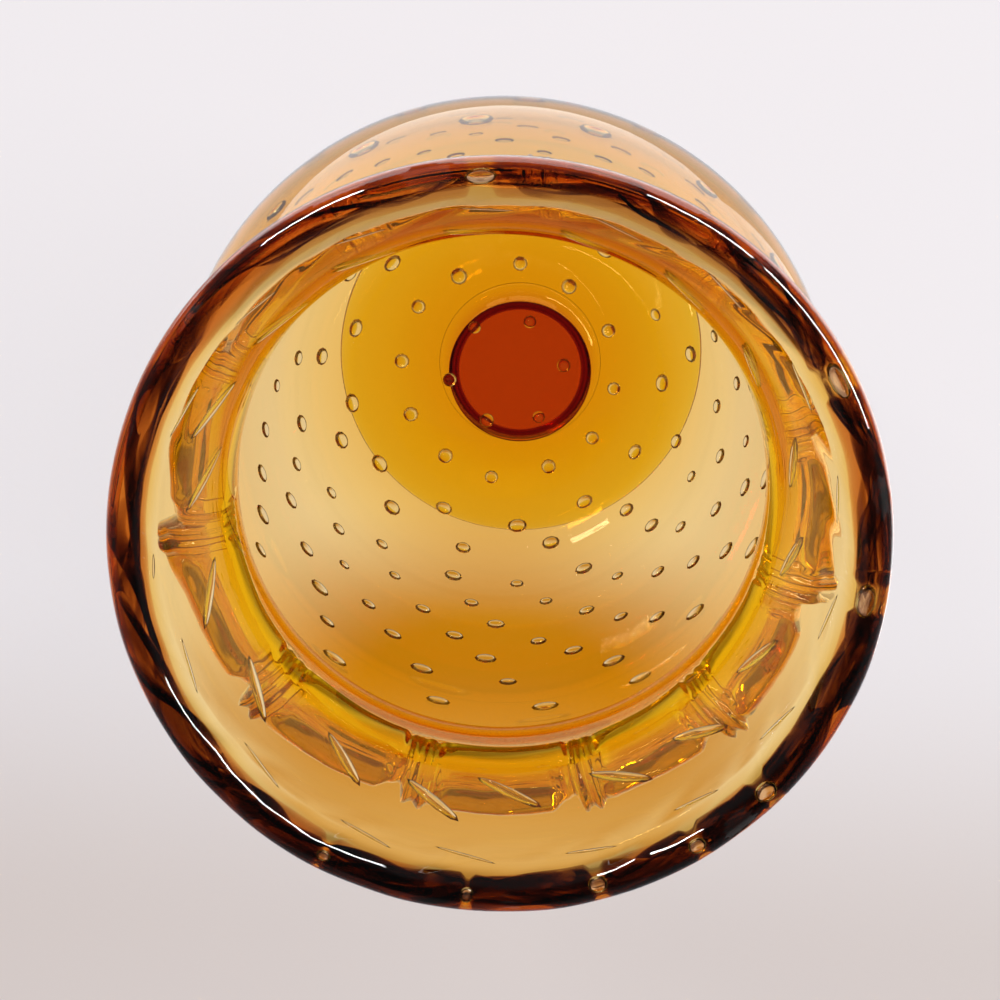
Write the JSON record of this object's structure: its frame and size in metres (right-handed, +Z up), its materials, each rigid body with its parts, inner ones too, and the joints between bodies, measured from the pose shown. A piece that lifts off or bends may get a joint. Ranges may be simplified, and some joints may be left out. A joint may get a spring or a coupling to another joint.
{
  "type": "pedestal vase",
  "caption": "Blown glass vase with a flared round lip, a drawn-in throat with a crimped collar, a full round body, a short solid stem and a round foot.",
  "frame": {"origin": "on the bowl's axis, in the plane that the vase stands on", "axes": "+Z up along the vase's axis, from the foot to the mouth; +X and +Y level, with the first crimp of the collar near +X"},
  "size_m": [0.1356, 0.1356, 0.1812],
  "materials": {
    "bowl_glass": "clear amber glass, fire polished, with trapped bubbles",
    "collar_glass": "clear amber glass, crimped hot",
    "stem_glass": "clear amber glass, solid, deep red-brown in its thickness",
    "foot_glass": "clear amber glass, polished underside"
  },
  "bodies": {
    "root": {"bowl": "bowl_glass", "neck_collar": "collar_glass", "stem": "stem_glass", "foot": "foot_glass"}
  },
  "joints": []
}
